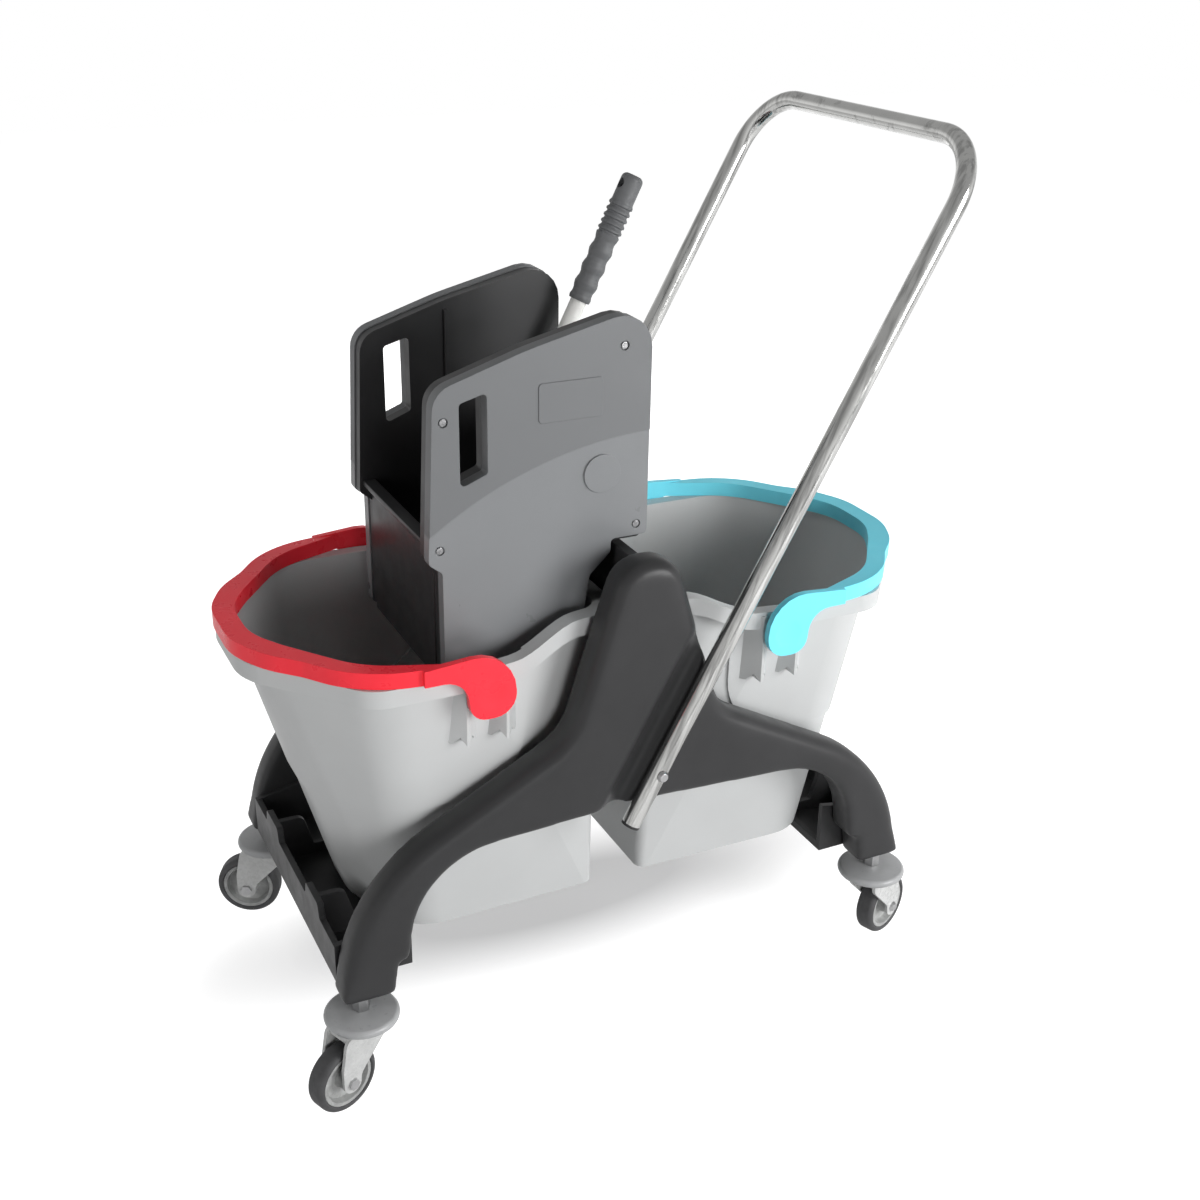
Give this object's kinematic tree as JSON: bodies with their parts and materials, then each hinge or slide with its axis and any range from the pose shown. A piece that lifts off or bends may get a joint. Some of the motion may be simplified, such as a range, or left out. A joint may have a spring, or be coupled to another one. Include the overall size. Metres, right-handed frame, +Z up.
{
  "type": "double mop bucket trolley",
  "caption": "Double mop bucket trolley: two tapered buckets with swing handles in an arched frame on swivel casters, with a leaning push handle and a lever press wringer.",
  "frame": {"origin": "on the floor, midway between the casters", "axes": "+X to the blue-handled bucket, -Y the side that the picture shows, +Z up"},
  "size_m": [0.774, 0.436, 0.9462],
  "materials": {
    "chassis_plastic": "satin moulded dark grey",
    "chrome_tube": "bright plated tube",
    "zinc_steel": "zinc plated",
    "black_plastic": "matt black",
    "caster_grey": "satin mid grey",
    "hub_grey": "light grey",
    "tyre_rubber": "matt dark grey rubber",
    "bucket_grey": "light grey, soft gloss",
    "bail_red": "red",
    "bail_blue": "blue",
    "wringer_charcoal": "glossy charcoal",
    "wringer_black": "satin near black",
    "lever_white": "off-white coated tube",
    "grip_grey": "matt dark grey"
  },
  "bodies": {
    "chassis": {"side_frame_front": "chassis_plastic", "side_frame_back": "chassis_plastic", "end_beam_left": "chassis_plastic", "end_beam_right": "chassis_plastic", "centre_divider": "chassis_plastic", "push_handle": "chrome_tube", "handle_end_plugs": "black_plastic", "handle_bolts": "zinc_steel", "handle_nuts": "zinc_steel", "caster_stems": "zinc_steel"},
    "front_left_swivel": {"front_left_fork": "caster_grey", "front_left_bumper": "caster_grey", "front_left_axle": "zinc_steel"},
    "front_left_wheel": {"front_left_hub": "hub_grey", "front_left_tyre": "tyre_rubber"},
    "front_right_swivel": {"front_right_fork": "caster_grey", "front_right_bumper": "caster_grey", "front_right_axle": "zinc_steel"},
    "front_right_wheel": {"front_right_hub": "hub_grey", "front_right_tyre": "tyre_rubber"},
    "back_left_swivel": {"back_left_fork": "caster_grey", "back_left_bumper": "caster_grey", "back_left_axle": "zinc_steel"},
    "back_left_wheel": {"back_left_hub": "hub_grey", "back_left_tyre": "tyre_rubber"},
    "back_right_swivel": {"back_right_fork": "caster_grey", "back_right_bumper": "caster_grey", "back_right_axle": "zinc_steel"},
    "back_right_wheel": {"back_right_hub": "hub_grey", "back_right_tyre": "tyre_rubber"},
    "left_bucket": {"left_bucket": "bucket_grey"},
    "left_bail": {"left_bail": "bail_red"},
    "right_bucket": {"right_bucket": "bucket_grey"},
    "right_bail": {"right_bail": "bail_blue"},
    "wringer": {"inner_panel_front": "wringer_black", "inner_panel_back": "wringer_black", "side_cover_front": "wringer_charcoal", "side_cover_back": "wringer_charcoal", "end_wall": "wringer_black", "tie_bar": "wringer_black", "drain_grid": "wringer_black", "cover_screws": "zinc_steel", "shaft_bushes": "hub_grey", "return_spring": "zinc_steel"},
    "press": {"press_jaw": "wringer_black", "pivot_shaft": "zinc_steel", "lever_tube": "lever_white", "lever_grip": "grip_grey"}
  },
  "joints": [
    {"name": "front_left_swivel_turn", "type": "hinge", "parent": "chassis", "child": "front_left_swivel", "pos_m": [-0.314, -0.1765, 0.1], "axis": [0, 0, 1], "continuous": true},
    {"name": "front_right_swivel_turn", "type": "hinge", "parent": "chassis", "child": "front_right_swivel", "pos_m": [0.314, -0.1765, 0.1], "axis": [0, 0, 1], "continuous": true},
    {"name": "back_left_swivel_turn", "type": "hinge", "parent": "chassis", "child": "back_left_swivel", "pos_m": [-0.314, 0.1765, 0.1], "axis": [0, 0, 1], "continuous": true},
    {"name": "back_right_swivel_turn", "type": "hinge", "parent": "chassis", "child": "back_right_swivel", "pos_m": [0.314, 0.1765, 0.1], "axis": [0, 0, 1], "continuous": true},
    {"name": "front_left_wheel_spin", "type": "hinge", "parent": "front_left_swivel", "child": "front_left_wheel", "pos_m": [-0.34182, -0.18774, 0.0375], "axis": [0.3746, -0.9272, 0], "continuous": true},
    {"name": "front_right_wheel_spin", "type": "hinge", "parent": "front_right_swivel", "child": "front_right_wheel", "pos_m": [0.34182, -0.16526, 0.0375], "axis": [-0.3746, 0.9272, 0], "continuous": true},
    {"name": "back_left_wheel_spin", "type": "hinge", "parent": "back_left_swivel", "child": "back_left_wheel", "pos_m": [-0.34049, 0.19058, 0.0375], "axis": [-0.4695, -0.8829, 0], "continuous": true},
    {"name": "back_right_wheel_spin", "type": "hinge", "parent": "back_right_swivel", "child": "back_right_wheel", "pos_m": [0.33998, 0.1915, 0.0375], "axis": [-0.5, 0.866, 0], "continuous": true},
    {"name": "left_bucket_lift", "type": "slide", "parent": "chassis", "child": "left_bucket", "axis": [0, 0, 1], "range_m": [0, 0.02]},
    {"name": "right_bucket_lift", "type": "slide", "parent": "chassis", "child": "right_bucket", "axis": [0.342, 0, 0.9397], "range_m": [0, 0.26]},
    {"name": "left_bail_swing", "type": "hinge", "parent": "left_bucket", "child": "left_bail", "pos_m": [-0.168, 0, 0.44], "axis": [0, 1, 0], "range_deg": [0, 50]},
    {"name": "right_bail_swing", "type": "hinge", "parent": "right_bucket", "child": "right_bail", "pos_m": [0.168, 0, 0.44], "axis": [0, -1, 0], "range_deg": [0, 90]},
    {"name": "wringer_lift", "type": "slide", "parent": "chassis", "child": "wringer", "axis": [0, 0, 1], "range_m": [0, 0.25]},
    {"name": "press_lever", "type": "hinge", "parent": "wringer", "child": "press", "pos_m": [-0.0235, 0, 0.626], "axis": [0, 1, 0], "range_deg": [0, 42], "stiffness_Nm_per_rad": 0.6, "springref_deg": -45.84}
  ]
}
